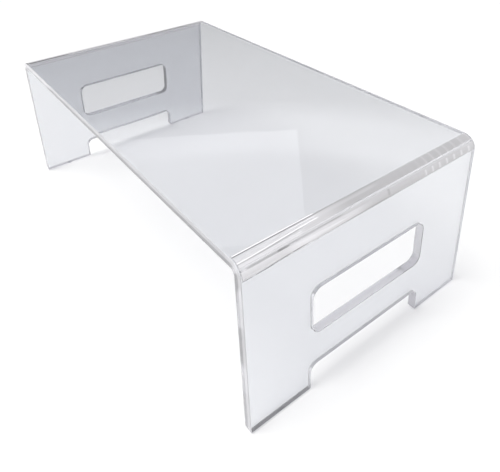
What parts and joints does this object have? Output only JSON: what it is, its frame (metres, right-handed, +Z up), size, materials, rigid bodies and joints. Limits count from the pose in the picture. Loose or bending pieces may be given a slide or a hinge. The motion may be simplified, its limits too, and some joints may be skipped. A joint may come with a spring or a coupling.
{
  "type": "bridge display stand",
  "caption": "Clear bridge stand bent from one thick sheet: flat top, end legs with a rounded hand slot and a foot notch, small clear pads under the feet.",
  "frame": {"origin": "centre of the footprint, on the surface the stand rests on", "axes": "+X along the long side from the left leg to the right leg, +Z up, +Y from the front edge to the back edge"},
  "size_m": [0.4878, 0.27, 0.1715],
  "materials": {
    "clear_sheet": "clear cast acrylic with polished edges",
    "clear_pad": "clear soft polyurethane"
  },
  "bodies": {
    "root": {"bent_sheet": "clear_sheet", "foot_pad_front_left": "clear_pad", "foot_pad_front_right": "clear_pad", "foot_pad_back_left": "clear_pad", "foot_pad_back_right": "clear_pad"}
  },
  "joints": []
}
